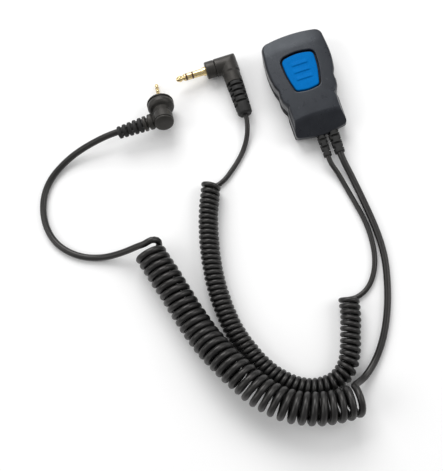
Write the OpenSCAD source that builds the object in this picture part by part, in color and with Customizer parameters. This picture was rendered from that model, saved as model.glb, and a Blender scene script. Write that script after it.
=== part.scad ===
// Push-to-talk switch lead: a hand-held switch pod, a thin curly cord to a right-angle
// three-contact jack plug, and a thick curly cord to a right-angle round plug.
// Millimetres, +Z up. The origin is on the surface everything lies on, under the pod's middle.
// +Y runs along the pod from its cable end to its rounded end, +X to the pod's right.

/* [Pod] */

// Length of the pod along Y
pod_l = 52; // [48:0.5:58]
// Width across the rounded paddle
pod_w = 32.4; // [30:0.2:36]
// Width of the cable end
neck_w = 25.2; // [23:0.2:27]
// Thickness from flat back to front face
pod_t = 14; // [13:0.5:17]
// Height of the parting line above the back
split_z = 5; // [4.5:0.1:6]
// Housing wall
wall = 1.8; // [1.4:0.1:2.2]
// Thickness of the gasket between the two shells
gasket_t = 0.5; // [0.3:0.1:0.8]

/* [Button] */

// Button width at its wide end
button_w_top = 16.2; // [15:0.2:18]
// Button width at its narrow end
button_w_low = 11.4; // [10:0.2:13]
// Width of the gap round the button
button_gap = 0.85; // [0.6:0.05:1.2]
// How far the button goes in
button_travel = 1.0; // [0.5:0.1:1.2]

/* [Cords] */

// Diameter of the thin cord
thin_d = 2.4; // [2:0.1:2.8]
// Outer diameter of the thin cord's coil
thin_coil_d = 9.6; // [8.5:0.1:10.5]
// Diameter of the thick cord
thick_d = 3.2; // [2.8:0.1:3.6]
// Outer diameter of the thick cord's coil
thick_coil_d = 15; // [13:0.1:16]

/* [Jack plug] */

// Diameter of the jack plug's contact pin
jack_d = 3.5; // [3.5:0.1:3.5]
// Length of the jack plug's contact pin
jack_l = 14; // [14:0.5:15]
// Diameter of the jack plug's collar
jack_collar_d = 8.7; // [8:0.1:9.5]

/* [Round plug] */

// Diameter of the round plug's pin sleeve
pin_d = 2.5; // [2.5:0.1:2.5]
// Diameter of the pin's slim end contacts
pin_end_d = 1.8; // [1.6:0.1:2]
// Diameter of the coupling ring's rim
rim_d = 13.4; // [12:0.1:15]
// Diameter of the plug's right-angle barrel
barrel_d = 9.9; // [8.5:0.1:10.5]

/* [Hidden] */

$fn = 64;
eps = 0.02;
fit = 0.05;                  // radial clearance of a close fit
big = 80;                    // larger than the pod every way

black = [0.13, 0.13, 0.14];
rubber = [0.09, 0.09, 0.10];
blue = [0.02, 0.42, 0.78];
gold = [0.85, 0.68, 0.30];
steel = [0.70, 0.71, 0.73];
green = [0.10, 0.35, 0.20];

// ---------------------------------------------------------------- helpers

function unit(v) = v / norm(v);

// Points of one rounded corner at b, between neighbours a and c
function fillet(a, b, c, r) =
    let (u = unit(a - b), w = unit(c - b), half = acos(u * w) / 2,
         mid = b + unit(u + w) * r / sin(half),
         p = b + u * r / tan(half) - mid, q = b + w * r / tan(half) - mid,
         from = atan2(p.y, p.x), turn = (atan2(q.y, q.x) - from + 540) % 360 - 180,
         n = ceil(abs(turn) * sqrt(r) / 40))
    [for (i = [0 : n]) mid + r * [cos(from + turn * i / n), sin(from + turn * i / n)]];

// A closed list of corners [x, y, radius] as the points of its rounded outline
function rounded(p) = [for (i = [0 : len(p) - 1])
    let (a = p[(i + len(p) - 1) % len(p)], b = p[i], c = p[(i + 1) % len(p)])
    each fillet([a.x, a.y], [b.x, b.y], [c.x, c.y], b.z)];

// The right half of an outline, bottom to top, closed with its mirror image
function mirrored(half) = concat(half,
    [for (i = [len(half) - 1 : -1 : 0]) if (half[i].x > 0) [-half[i].x, half[i].y, half[i].z]]);

// Points of the right half of a profile, closed with their mirror image
function mirror_points(half) = concat(half,
    [for (i = [len(half) - 1 : -1 : 0]) [-half[i].x, half[i].y]]);

// Extrude a (y, z) profile along X, or an (x, z) profile along Y
module along_x(w) rotate([90, 0, 90]) linear_extrude(w, center = true) children();
module along_y(l) rotate([90, 0, 0]) linear_extrude(l, center = true) children();

// Round bar from z0 to z1, and a tube round the same axis
module bar(z0, z1, r) translate([0, 0, z0]) cylinder(h = z1 - z0, r = r);
module pipe(z0, z1, r_in, r_out) difference() {
    bar(z0, z1, r_out);
    bar(z0 - 1, z1 + 1, r_in);
}

// Tube of radius r swept along a route, with the given number of sides
module tube(p, r, sides) {
    last = len(p) - 1;
    rings = [for (i = [0 : last])
        let (t = unit(p[min(i + 1, last)] - p[max(i - 1, 0)]),
             s = unit(cross([0, 0, 1], t)), u = cross(t, s))
        for (k = [0 : sides - 1])
            p[i] + r * (cos(360 * k / sides) * s + sin(360 * k / sides) * u)];
    walls = [for (i = [0 : last - 1]) for (k = [0 : sides - 1])
        let (a = i * sides + k, b = i * sides + (k + 1) % sides)
        [a, a + sides, b + sides, b]];
    polyhedron(rings, concat(walls, [[for (k = [0 : sides - 1]) k]],
        [[for (k = [sides - 1 : -1 : 0]) last * sides + k]]), convexity = 10);
}

// Moulded strain relief from z = 0 up: a cone with notches left and right, and slots
// across the front and back midway between them
module slotted_relief(len, r0, r1, start, pitch, count, slot, web) difference() {
    cylinder(h = len, r1 = r0, r2 = r1);
    for (side = [-1, 1]) {
        for (i = [0 : count - 1]) translate([side * (web + r0), 0, start + i * pitch])
            cube([2 * r0, 3 * r0, slot], center = true);
        for (i = [0 : count - 2]) translate([0, side * (web + r0), start + (i + 0.5) * pitch])
            cube([3 * r0, 2 * r0, slot], center = true);
    }
}

// ---------------------------------------------------------------- pod shape

front_z = split_z + gasket_t;
slope_y = -18.8;             // where the front face starts to slope to the cable end
slope_z = 7.0;               // height of the slope's lower edge
brow = [1.0, 2.0];           // how far the front shell juts over the back, middle and corners
brow_y = -pod_l / 2 - 1.5;   // the slope's lower edge
slope_fall = (pod_t - slope_z) / (slope_y - brow_y);
slope_a = atan(slope_fall);

// Right half of the pod's outline: convex cable end, neck, two finger grooves, paddle, crown.
// jut is 1 for the front shell and 0 for the back.
function pod_half(jut) = [
    [0, -pod_l / 2 - 0.9 - jut * brow[0], 30],
    [neck_w / 2, -pod_l / 2 + 2.2 - jut * brow[1], 1.6],
    [neck_w / 2 + 0.1, -13.4, 1.6],
    [neck_w / 2 - 0.35, -10.6, 2.2],
    [pod_w / 2 - 2.3, -7.2, 0.9],
    [pod_w / 2 - 1.9, -4.4, 1.6],
    [pod_w / 2 - 2.1, -1.2, 2.2],
    [pod_w / 2 - 0.9, 2, 1.2],
    [pod_w / 2 + 0.3, 9.5, 40],
    [pod_w / 2 - 0.9, pod_l / 2 - 1.6, 4],
    [0, pod_l / 2 + 1, 70]];

// The same outline drawn in by a distance t
function inset(p, t) = [for (q = p)
    [q.x - sign(q.x) * t, q.y * (1 - 2 * t / pod_l), q.z * (1 - t / 4)]];
module pod_plan(h, t = 0, jut = 0) linear_extrude(h)
    polygon(rounded(mirrored(inset(pod_half(jut), t))));

// Lengthways and crossways profiles: chamfered back, sloped cable end, rounded shoulders
module side_profile() along_x(big) polygon(let (end = pod_l / 2, top = pod_t) [
    [-end - 4, 5.2], [-end - 1.5, 5.2], [3 - end, 0], [end - 1.6, 0], [end + 1, 2.6],
    [end + 1, top - 7],
    [end, top - 3.2], [end - 0.5, top - 1.7], [end - 1.4, top - 0.7], [end - 3.2, top - 0.1],
    [end - 8, top + 0.6], [slope_y + 0.6 / slope_fall, top + 0.6],
    [-end - 4, slope_z - (brow_y + end + 4) * slope_fall]]);
// Everything below the slope by a wall's thickness
module under_slope() along_x(big) polygon([[-big, -1], [big, -1], [big, big],
    [slope_y + big, pod_t - wall + big], [slope_y - pod_t, -wall]]);
module cross_profile() along_y(big) polygon(let (side = pod_w / 2, top = pod_t)
    mirror_points([[side - 2, 0], [side + 1, 2.7], [side + 1, top - 7.4], [side, top - 4.2],
        [side - 0.4, top - 2.6], [side - 1.2, top - 1.3], [side - 3, top + 0.6]]));
crown_r = 110;               // radius of the front face's gentle crown
module crown() translate([0, 0, pod_t - crown_r]) rotate([90, 0, 0])
    cylinder(h = big, r = crown_r, center = true, $fn = 128);

// Solid between two heights of the pod
module pod_block(z0, z1, jut = 0) intersection() {
    translate([0, 0, z0]) pod_plan(z1 - z0, 0, jut);
    side_profile();
    cross_profile();
}

// Chamfer along the edges where the slope meets the neck's sides
bevel = 3.2;
module slope_bevels() for (side = [-1, 1])
    translate([side * (neck_w / 2 + 0.1), slope_y, pod_t]) rotate([slope_a, 0, side * -2])
        rotate([0, 45, 0]) cube([bevel, 40, bevel], center = true);

screw_at = [[-12.2, 18.4], [12.2, 18.4], [-9.6, -17.4], [9.6, -17.4]];
screw_r = 1.0;
screw_head_r = 1.9;
boss_r = 2.3;

// Right half of the button's outline, grown by g
button_y0 = -5.2;            // narrow end
button_y1 = 14.4;            // wide end
function button_half(g) = [
    [0, button_y0 - g - 0.2, 12],
    [button_w_low / 2 + g, button_y0 - g + 0.9, 2 + g],
    [(button_w_top + button_w_low) / 4 + 0.9 + g, 4.6, 40],
    [button_w_top / 2 + g, button_y1 + g - 1.2, 2.4 + g],
    [0, button_y1 + g + 0.3, 25]];
module button_plan(h, g = 0) linear_extrude(h) polygon(rounded(mirrored(button_half(g))));

face_t = 2;                  // thickness of the front shell's face
seal_t = 0.5;
flange_t = 1.1;
button_top = pod_t - 0.4;
flange_top = pod_t - face_t - seal_t - fit - 0.4;
flange_z = flange_top - flange_t;
switch_at = [0, 5, 0];

relief_z = 4.8;              // height of both cords where they leave the pod
thin_x = -0.8;
thick_x = 5.2;
thin_relief_r = 2.3;
thick_relief_r = 2.85;
relief_l = 11.8;             // part outside the pod
relief_end = -pod_l / 2 - relief_l;
module at_thin() translate([thin_x, 0, relief_z]) children();
module at_thick() translate([thick_x, 0, relief_z]) children();
// Point local +Z along the row's -Y, from a given y
module down_y(y) translate([0, y, 0]) rotate([90, 0, 0]) children();

module relief_seats() {
    at_thin() down_y(-pod_l / 2 + 6) cylinder(h = 12, r = thin_relief_r + fit);
    at_thick() down_y(-pod_l / 2 + 6) cylinder(h = 12, r = thick_relief_r + fit);
}

module front_block() intersection() {
    pod_block(front_z, pod_t + 1, 1);
    crown();
}
module front_shell() color(black) difference() {
    union() {
        difference() {
            front_block();
            intersection() {
                translate([0, 0, front_z - 1]) pod_plan(pod_t - face_t - front_z + 1, wall);
                under_slope();
            }
        }
        intersection() {
            front_block();
            for (p = screw_at) translate(p) bar(front_z, pod_t + 1, boss_r);
        }
    }
    translate([0, 0, flange_top]) button_plan(pod_t, button_gap);
    for (p = screw_at) translate(p) bar(front_z - 1, front_z + 4.6, screw_r + fit);
    relief_seats();
    slope_bevels();
}

board_z = 3;                 // underside of the circuit board
board_t = 1.4;
board_top = board_z + board_t;
board_posts = [[-6.6, -9.6], [6.6, -9.6], [-6.6, 12.4], [6.6, 12.4]];

module rear_shell() color(black) difference() {
    union() {
        difference() {
            pod_block(0, split_z);
            translate([0, 0, wall]) pod_plan(split_z, wall + 0.4);
        }
        for (p = board_posts) translate(p) bar(wall - eps, board_z, 1.5);
        for (p = screw_at) translate(p) bar(wall - eps, split_z, boss_r + 0.6);
    }
    for (p = screw_at) translate(p) {
        bar(-1, 1.8, screw_head_r + 0.2);
        bar(-1, split_z + 1, screw_r + 0.15);
    }
    relief_seats();
}

module housing_gasket() color(rubber) difference() {
    translate([0, 0, split_z]) pod_plan(gasket_t, 0.5);
    translate([0, 0, split_z - 1]) pod_plan(gasket_t + 2, wall - 0.2);
    relief_seats();
}

module housing_screws() color(steel) for (p = screw_at) translate(p) difference() {
    union() {
        bar(0.5, 1.8, screw_head_r);
        bar(1.7, front_z + 4.2, screw_r);
    }
    for (a = [0, 90]) rotate(a) translate([-1.1, -0.2, 0]) cube([2.2, 0.4, 1.1]);
}

// Button: crowned top with three stepped grip ridges, and a flange that stops it
ridge_w = 10.6;
ridge_y = [0.3, 4.2, 8.1];
ridge_h = 0.45;
button_crown_r = 60;
module ptt_button() color(blue) {
    translate([0, 0, flange_z]) button_plan(flange_t, button_gap + 0.8);
    intersection() {
        translate([0, 0, flange_z]) button_plan(button_top + 1 - flange_z);
        translate([0, 0, button_top - button_crown_r]) rotate([90, 0, 0])
            cylinder(h = big, r = button_crown_r, center = true, $fn = 96);
    }
    for (y = ridge_y) translate([0, y, button_top - 0.25]) along_x(ridge_w)
        polygon([[0, -0.4], [0, 0.1], [0.35, 0.25 + ridge_h], [0.8, 0.2 + ridge_h], [2.6, -0.4]]);
}

module button_seal() color(rubber) difference() {
    translate([0, 0, flange_top + fit]) button_plan(seal_t + 0.35, button_gap - fit);
    translate([0, 0, flange_top - 1]) button_plan(4, 0.1);
}

pad_t = 1.2;
plunger_r = 1.7;
plunger_top = flange_z - pad_t - fit;
module button_pad() color([0.35, 0.35, 0.37]) translate(switch_at)
    bar(flange_z - pad_t, flange_z, 2.8);

module circuit_board() color(green) difference() {
    translate([0, 0, board_z]) linear_extrude(board_t) polygon(rounded(mirrored([
        [8.4, -13, 1], [8.4, -6, 1], [9.4, -4, 1], [9.4, 14.6, 1.5]])));
    for (side = [-1, 1]) translate([side * 7.6, 4, 0]) bar(board_z - 1, board_top + 1, 0.6);
}

module chip(x, y, size) translate([x, y, board_top]) translate([-size.x / 2, -size.y / 2, 0])
    cube(size);
module board_parts() color([0.55, 0.48, 0.40]) {
    for (x = [-6.4, -3.9, 3.9, 6.4]) chip(x, -4, [1.25, 2, 0.6]);
    for (x = [-5.6, 5.6]) chip(x, 11.4, [2, 1.25, 0.7]);
    chip(0, -4.4, [2.9, 1.6, 1.1]);
    translate([-6.4, 0.6, 0]) bar(board_top, board_top + 2.6, 1.5);
}

switch_side = 6;
switch_top = board_top + 3;
module switch_body() color([0.10, 0.10, 0.10]) translate(switch_at) difference() {
    union() {
        translate([-switch_side / 2, -switch_side / 2, board_top])
            cube([switch_side, switch_side, switch_top - board_top - 0.3]);
        translate([-2.7, -2.7, board_top]) cube([5.4, 5.4, switch_top - board_top]);
    }
    bar(board_top + 0.6, switch_top + 1, plunger_r + fit);
}
module switch_plunger() color([0.75, 0.20, 0.15]) translate(switch_at)
    bar(board_top + 0.6 + button_travel + 0.2, plunger_top, plunger_r);
module switch_terminals() color(steel) translate(switch_at)
    for (sx = [-1, 1], y = [-2.25, 2.25]) translate([sx * switch_side / 2, y, board_top])
        mirror([sx < 0 ? 1 : 0, 0, 0]) translate([0, -0.35, 0]) {
            cube([0.25, 0.7, 1.6]);
            cube([1.3, 0.7, 0.25]);
        }

// Conductors: a straight run from a cord's end, bent down on to the board
wire_r = 0.4;
wire_end = -11.4;
module lead_wires() color([0.75, 0.25, 0.12])
    for (x = [thin_x - 0.85, thin_x + 0.85, thick_x - 1, thick_x + 1])
        translate([x, 0, relief_z + 0.4]) {
            down_y(wire_end) cylinder(h = wire_end - jacket_y1, r = wire_r);
            translate([0, wire_end, 0]) sphere(r = wire_r);
            translate([0, wire_end, board_top - relief_z - 0.4])
                cylinder(h = relief_z + 0.4 - board_top, r = wire_r);
        }

jacket_y0 = -21.2;           // inner face of the reliefs
jacket_y1 = -18.6;           // where the jackets end
module cord_ends() color(rubber) {
    at_thin() down_y(jacket_y1) cylinder(h = jacket_y1 - jacket_y0, d = thin_d);
    at_thick() down_y(jacket_y1) cylinder(h = jacket_y1 - jacket_y0, d = thick_d);
}
ferrule_l = 1.8;
module cord_ferrules() color(steel) for (p = [[thin_x, thin_d], [thick_x, thick_d]])
    translate([p[0], 0, relief_z]) down_y(jacket_y1 - 0.6)
        pipe(0, ferrule_l, p[1] / 2 + fit, p[1] / 2 + 0.4);

// Pod reliefs: inner flange, plain neck through the wall, slotted tail
module pod_relief(r, flange_w, web) {
    down_y(-pod_l / 2 + 1) {
        cylinder(h = 1.4, r = r);
        translate([0, 0, 1.4]) slotted_relief(relief_l - 0.4, r, r * 0.86, 1.2, 3.9, 3, 1.1, web);
        translate([0, 0, -1.2]) cylinder(h = 1.2, r = r);
    }
    translate([-flange_w / 2, jacket_y0 - 1.3, 2 - relief_z]) cube([flange_w, 1.3, 2.8]);
    down_y(jacket_y0) cylinder(h = 3.2, r = r - 0.3);
}
module thin_relief() color(rubber) at_thin() pod_relief(thin_relief_r, 5.4, 1.15);
module thick_relief() color(rubber) at_thick() pod_relief(thick_relief_r, 6, 1.5);

// ---------------------------------------------------------------- jack plug
// Local frame: tip at the origin, pin along +X into the body, relief towards -Y

jack_at = [-59.8, 24, 6.6];
jack_turn = 1.1;
jack_lift = 4;               // the plug lies on its barrel, with its pin's tip raised
jack_shoulder = 1.6;
jack_body_x = jack_l + jack_shoulder;
jack_axis_x = 27.2;          // axis of the relief
barrel_r = 4.65;
jack_relief_y = 11.2;
jack_relief_l = 17.7;
module at_jack() translate(jack_at) rotate([0, jack_lift, jack_turn]) children();
module on_pin() at_jack() rotate([0, 90, 0]) children();

// Contact pin geometry shared by the jack's pieces: end positions of the contacts
tip_l = 4.9;
gap_l = 0.8;
ring_end = 8.1;
jack_r = jack_d / 2;

module jack_tip() color(gold) on_pin() {
    rotate_extrude() polygon([[0, 0], [0.5, 0], [0.9, 0.3], [1.55, 1.5], [1.62, 1.9], [1.5, 2.4],
        [1.15, 3.1], [1.15, 3.5], [jack_r, 4.3], [jack_r, tip_l], [0, tip_l]]);
    bar(tip_l - eps, jack_body_x + 2, 0.4);
}
module jack_ring() color(gold) on_pin() {
    pipe(tip_l + gap_l, ring_end, 0.75, jack_r);
    pipe(ring_end - eps, jack_body_x + 1.6, 0.75, 0.95);
}
module jack_sleeve() color(gold) on_pin() {
    pipe(ring_end + gap_l, jack_l, 1.3, jack_r);
    pipe(jack_l - eps, jack_body_x, 1.3, 2.2);
}
module jack_insulators() color(black) on_pin() {
    pipe(tip_l, tip_l + gap_l, 0.45, jack_r);
    pipe(tip_l + gap_l - eps, jack_body_x + 1.6, 0.45, 0.7);
    pipe(ring_end, ring_end + gap_l, 1, jack_r);
    pipe(ring_end + gap_l - eps, jack_body_x + 1.2, 1, 1.25);
}
collar_l = 4.7;
module jack_collar() color(black) on_pin() difference() {
    rotate_extrude() polygon(let (r = jack_collar_d / 2, x = jack_body_x) [
        [0, x], [r - 1, x], [r - 0.3, x + 0.3], [r, x + 1], [r, x + collar_l - 0.4],
        [r - 0.4, x + collar_l], [0, x + collar_l]]);
    bar(jack_body_x - 1, jack_body_x + 2.2, 1.4);
}
module jack_body() color(black) at_jack() {
    // A mitred elbow: the tube along the pin runs on to the barrel's far side
    intersection() {
        rotate([0, 90, 0]) bar(jack_body_x + collar_l, jack_axis_x + barrel_r, barrel_r - 0.1);
        union() {
            translate([0, -barrel_r, -barrel_r]) cube([jack_axis_x, 2 * barrel_r, 2 * barrel_r]);
            translate([jack_axis_x, 0, 0]) rotate([90, 0, 0])
                cylinder(h = 2.5 * barrel_r, r = barrel_r - eps, center = true);
        }
    }
    translate([jack_axis_x, 0, 0]) rotate([90, 0, 0]) rotate_extrude() polygon([
        [0, 0], [barrel_r, 0], [barrel_r, 5], [barrel_r - 0.25, 5.4],
        [barrel_r - 0.3, jack_relief_y], [0, jack_relief_y]]);
}
module jack_relief() color(rubber) at_jack() translate([jack_axis_x, -jack_relief_y, 0])
    rotate([90, 0, 0]) {
        translate([0, 0, 0.25])
            slotted_relief(jack_relief_l - 4.25, 4.35, 3.8, 0.6, 2.95, 5, 1.1, 2.4);
        translate([0, 0, jack_relief_l - 4]) cylinder(h = 3.2, r1 = 3.8, r2 = 3.6);
        translate([0, 0, jack_relief_l - 0.8 - eps]) cylinder(h = 0.8 + eps, r1 = 3.6, r2 = 2.9);
    }

// ---------------------------------------------------------------- round plug
// Local frame: pin tip at the origin, +Z along the pin into the barrel, relief towards +X.
// The plug rests on its pin tip and its coupling ring's rim, so the barrel's cap is raised.

plug_at = [-70.4, 28, 0.9];
plug_heading = -92;
plug_rise = 22;
plug_roll = -86;
module at_plug() translate(plug_at) rotate([0, 0, plug_heading]) rotate([0, 90 - plug_rise, 0])
    rotate([0, 0, plug_roll]) children();

pin_r = pin_d / 2;
end_r = pin_end_d / 2;
pin_gap = 0.45;
pin_tip_l = 3.2;
pin_ring_end = 6;
sleeve_step = 8.4;           // the sleeve is slim in front of this and full size behind
nose_z = 15.4;               // the barrel's nose inside the coupling ring
rim_z = 14;
neck_z = 18.6;               // inner floor of the coupling ring
ring_back = 21.9;
neck_r = 3.1;
barrel_z = 22;
cap_z = 27.6;
plug_relief_z = 24.8;
plug_relief_x = 10;
plug_relief_l = 13.6;

module pin_tip() color(gold) at_plug() {
    rotate_extrude() polygon([[0, 0], [0.3, 0], [0.6, 0.25], [end_r, 0.95], [end_r, 1.4],
        [0.6, 2.1], [0.6, 2.4], [end_r, 2.9], [end_r, pin_tip_l], [0, pin_tip_l]]);
    bar(pin_tip_l - eps, nose_z + 2, 0.25);
}
module pin_ring() color(gold) at_plug() {
    pipe(pin_tip_l + pin_gap, pin_ring_end, 0.42, end_r);
    pipe(pin_ring_end - eps, nose_z + 1.4, 0.42, 0.5);
}
module pin_sleeve() color(gold) at_plug() {
    pipe(pin_ring_end + pin_gap, sleeve_step, 0.72, end_r);
    pipe(sleeve_step - eps, nose_z, 0.72, pin_r);
}
module pin_insulators() color(black) at_plug() {
    pipe(pin_tip_l, pin_tip_l + pin_gap, 0.29, end_r);
    pipe(pin_tip_l + pin_gap - eps, nose_z + 1.4, 0.29, 0.38);
    pipe(pin_ring_end, pin_ring_end + pin_gap, 0.54, end_r);
    pipe(pin_ring_end + pin_gap - eps, nose_z + 1, 0.54, 0.68);
}

// Bell-shaped coupling ring: rim, stepped shoulder, ridged neck
module coupling_ring() color(black) at_plug() difference() {
    rotate_extrude($fn = 96) polygon(let (r = rim_d / 2) concat(
        [[r - 0.5, rim_z], [r, rim_z + 0.4], [r, rim_z + 1.1], [r - 0.45, rim_z + 1.3],
         [r - 0.45, rim_z + 1.7], [r - 0.1, rim_z + 2], [r - 0.05, rim_z + 3.2],
         [r - 0.4, rim_z + 4.3], [r - 1.1, rim_z + 5.1], [r - 2, rim_z + 5.5]],
        [for (i = [0 : 2]) each [[4.4 - 0.1 * i, 19.6 + 0.75 * i], [4.1 - 0.1 * i, 19.85 + 0.75 * i]]],
        [[4, ring_back], [0, ring_back], [0, rim_z]]));
    bar(rim_z - 1, neck_z, rim_d / 2 - 1.1);
    bar(rim_z - 1, ring_back + 1, neck_r + fit);
}
module ring_clip() color(steel) at_plug() difference() {
    pipe(neck_z - 0.75, neck_z - 0.15, 2.7, 4);
    translate([-5, 0, neck_z]) cube([10, 1.6, 3], center = true);
}
module neck_seal() color(rubber) at_plug() translate([0, 0, neck_z - 1.4])
    rotate_extrude() translate([3.1, 0]) circle(r = 0.45);
module plug_body() color(black) at_plug() difference() {
    union() {
        bar(nose_z, neck_z - 0.1, 2.6);
        bar(neck_z - 0.1 - eps, barrel_z, neck_r);
        rotate_extrude() polygon(let (r = barrel_d / 2) [[0, barrel_z], [r - 0.75, barrel_z],
            [r - 0.75, barrel_z + 1.2], [r, barrel_z + 1.7], [r, cap_z - 0.3], [r - 0.3, cap_z],
            [0, cap_z]]);
        // Side arm, with a groove before the strain relief's rings
        translate([0, 0, plug_relief_z]) rotate([0, 90, 0]) rotate_extrude() polygon([
            [0, 0], [2.75, 0], [2.75, 4.3], [3.5, 5], [3.95, 5.6], [3.95, 7.1], [3.6, 7.5],
            [2.6, 7.5], [2.6, 8.4], [3.5, 8.4], [3.85, 8.8], [3.85, plug_relief_x],
            [0, plug_relief_x]]);
    }
    bar(nose_z - 1, nose_z + 2.2, 0.8);
}
module plug_cap() color(black) at_plug() rotate_extrude() polygon(let (r = barrel_d / 2 - 0.15)
    [[0, cap_z], [r - 0.4, cap_z], [r, cap_z + 0.4], [r, cap_z + 0.9], [r - 0.35, cap_z + 1.25],
     [r - 1.4, cap_z + 1.5], [r - 2.8, cap_z + 1.62], [0, cap_z + 1.65]]);

// Relief of separate rounded rings on a core, joined by webs that alternate round the axis
rings = 5;
ring_pitch = 2.7;
module plug_relief() color(rubber) at_plug() translate([plug_relief_x, 0, plug_relief_z])
    rotate([0, 90, 0]) {
        cylinder(h = plug_relief_l, r1 = 2.3, r2 = 2.1);
        for (i = [0 : rings - 1]) let (z = 0.9 + i * ring_pitch, r = 3.75 - 0.16 * i) {
            rotate_extrude() polygon([[0, z], [r - 0.3, z], [r, z + 0.4], [r, z + 1.3],
                [r - 0.3, z + 1.7], [0, z + 1.7]]);
            rotate(i % 2 == 0 ? 0 : 90) translate([-r + 0.5, -0.7, z - 0.9])
                cube([2 * r - 1, 1.4, 1.1]);
        }
    }

// ---------------------------------------------------------------- cords
// Routes are points the cord passes through; a coil's route is the middle of its turns

thin_z = thin_d / 2 + 0.05;
thick_z = thick_d / 2 + 0.05;
thin_coil_z = thin_coil_d / 2 + 0.1;
thick_coil_z = thick_coil_d / 2 + 0.1;

thin_lead_route = [[thin_x, relief_end, relief_z], [-0.6, -41, 4.2], [1.2, -46.5, 2.4],
    [2.6, -53, thin_z], [4.4, -63, thin_z], [5.8, -72, thin_z], [5.9, -82, thin_z],
    [4.6, -91, thin_z], [1, -99.2, thin_z], [-4.8, -104.6, thin_z], [-11, -106.4, thin_z]];
thin_coil_route = [[-13.4, -106, thin_coil_z], [-15, -113.6, thin_coil_z],
    [-17.6, -121, thin_coil_z], [-20.4, -129, thin_coil_z], [-24.6, -136, thin_coil_z],
    [-31, -140, thin_coil_z], [-38.6, -140.6, thin_coil_z], [-46, -138.4, thin_coil_z],
    [-53.2, -133, thin_coil_z], [-59.4, -125.2, thin_coil_z], [-64.2, -115.6, thin_coil_z],
    [-67.6, -105.6, thin_coil_z], [-69.4, -94, thin_coil_z], [-69.8, -82, thin_coil_z],
    [-68.8, -70, thin_coil_z], [-66.8, -59, thin_coil_z], [-63.8, -47.6, thin_coil_z],
    [-60, -37.6, thin_coil_z], [-57.4, -31.4, thin_coil_z]];
thin_tail_route = [[-55.6, -34, thin_z], [-51.6, -32.4, thin_z], [-47, -28.8, thin_z],
    [-42.2, -24.6, thin_z], [-38.6, -20.6, 1.4], [-35.2, -15.4, 2.2], [-33, -10, 3.8],
    [-32.1, -4.4, 4.7]];

thick_lead_route = [[thick_x, relief_end, relief_z], [5.4, -41.5, 4.2], [6.4, -47, 2.8],
    [7.4, -54, thick_z], [8.4, -64, thick_z], [9.2, -74, thick_z], [9.4, -84, thick_z],
    [8.6, -93, thick_z], [6.4, -102.4, thick_z], [3, -112.8, thick_z], [-1.4, -122.6, thick_z],
    [-6.2, -130.4, thick_z], [-11.8, -137, 2], [-17.2, -141.4, 3.6], [-22.4, -144.6, 7]];
thick_coil_route = [[-96.2, -56, thick_coil_z], [-93.4, -65.4, thick_coil_z],
    [-89.6, -78, thick_coil_z], [-86, -91, thick_coil_z], [-81.8, -103.6, 8.6],
    [-76.4, -115.4, 11.4], [-70, -126.6, 13], [-63, -136.6, 13.6], [-54.6, -144.2, 14.2],
    [-44.6, -148.8, 14], [-34.4, -150.8, 13], [-26.6, -150.8, 11.6], [-20.8, -150, 10.4]];
thick_tail_route = [[-95, 5.9, 8.7], [-99.4, 6, 8.2], [-106, 5.6, 7], [-113.6, 4.8, 5.2],
    [-121, 3.2, 3.4], [-128, 0.2, 2.2], [-134.2, -4, thick_z], [-139.4, -11, thick_z],
    [-142.2, -20, thick_z], [-142.2, -29, thick_z], [-139.4, -37.4, thick_z],
    [-133.6, -44.4, thick_z], [-126, -49.2, thick_z], [-117, -52, 2.6], [-108.4, -53, 5.4],
    [-100.4, -53.4, 8.8], [-96.4, -54.6, 10.6], [-94.8, -58.8, 10.4]];

module thin_cord_lead() color(rubber) tube(thin_lead_route, thin_d / 2, 8);
module thin_cord_coil() color(rubber) tube(thin_coil_route, thin_coil_d / 2, 12);
module thin_cord_tail() color(rubber) tube(thin_tail_route, thin_d / 2, 8);
module thick_cord_lead() color(rubber) tube(thick_lead_route, thick_d / 2, 8);
module thick_cord_coil() color(rubber) tube(thick_coil_route, thick_coil_d / 2, 12);
module thick_cord_tail() color(rubber) tube(thick_tail_route, thick_d / 2, 8);

// ---------------------------------------------------------------- output

front_shell();
rear_shell();
housing_gasket();
housing_screws();
ptt_button();
button_seal();
button_pad();
circuit_board();
board_parts();
switch_body();
switch_plunger();
switch_terminals();
lead_wires();
cord_ends();
cord_ferrules();
thin_relief();
thick_relief();
thin_cord_lead();
thin_cord_coil();
thin_cord_tail();
jack_tip();
jack_ring();
jack_sleeve();
jack_insulators();
jack_collar();
jack_body();
jack_relief();
thick_cord_lead();
thick_cord_coil();
thick_cord_tail();
pin_tip();
pin_ring();
pin_sleeve();
pin_insulators();
coupling_ring();
ring_clip();
neck_seal();
plug_body();
plug_cap();
plug_relief();
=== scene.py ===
import math

import bmesh
import bpy
from mathutils import Matrix, Vector


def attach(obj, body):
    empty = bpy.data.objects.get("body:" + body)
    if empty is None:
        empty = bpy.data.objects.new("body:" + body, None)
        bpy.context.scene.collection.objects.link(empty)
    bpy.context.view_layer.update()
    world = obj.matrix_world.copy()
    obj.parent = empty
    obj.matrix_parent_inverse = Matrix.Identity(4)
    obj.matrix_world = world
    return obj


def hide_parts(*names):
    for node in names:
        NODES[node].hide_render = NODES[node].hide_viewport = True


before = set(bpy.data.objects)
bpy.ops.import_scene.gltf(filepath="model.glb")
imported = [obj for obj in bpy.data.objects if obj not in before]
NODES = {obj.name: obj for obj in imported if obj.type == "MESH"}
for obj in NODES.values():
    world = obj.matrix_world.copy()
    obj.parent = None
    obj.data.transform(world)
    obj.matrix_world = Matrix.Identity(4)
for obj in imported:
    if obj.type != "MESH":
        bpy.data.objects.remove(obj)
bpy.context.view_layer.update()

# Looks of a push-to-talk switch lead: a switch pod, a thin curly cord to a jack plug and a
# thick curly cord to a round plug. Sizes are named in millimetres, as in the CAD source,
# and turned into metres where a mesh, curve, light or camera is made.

MM = 0.001
UP = Vector((0, 0, 1))
HOUSING, BUTTON, RING = "housing", "button", "ring"


# ---------------------------------------------------------------- camera

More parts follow.
